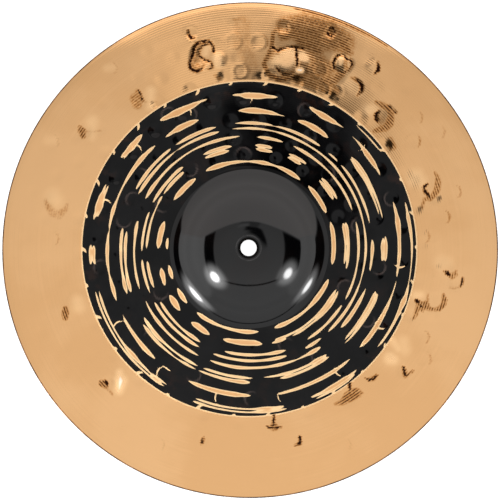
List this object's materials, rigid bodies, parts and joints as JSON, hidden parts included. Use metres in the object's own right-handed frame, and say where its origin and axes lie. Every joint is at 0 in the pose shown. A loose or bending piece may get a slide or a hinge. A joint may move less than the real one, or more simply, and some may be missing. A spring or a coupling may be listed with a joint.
{
  "type": "crash cymbal",
  "caption": "Round dished bronze crash cymbal with a raised central bell, a round stand hole, a dark hammered inner zone and a bright lathed outer zone.",
  "frame": {"origin": "centre of the stand hole, halfway through the sheet", "axes": "+Z along the cymbal's axis, with the bell on top and the open side down; +X and +Y lie in the disc, which is round, so neither is special"},
  "size_m": [0.4064, 0.4064, 0.0392],
  "materials": {
    "bronze": "brilliant polished tin bronze, dark glossy patina over the inner two thirds"
  },
  "bodies": {
    "root": {"cymbal": "bronze"}
  },
  "joints": []
}
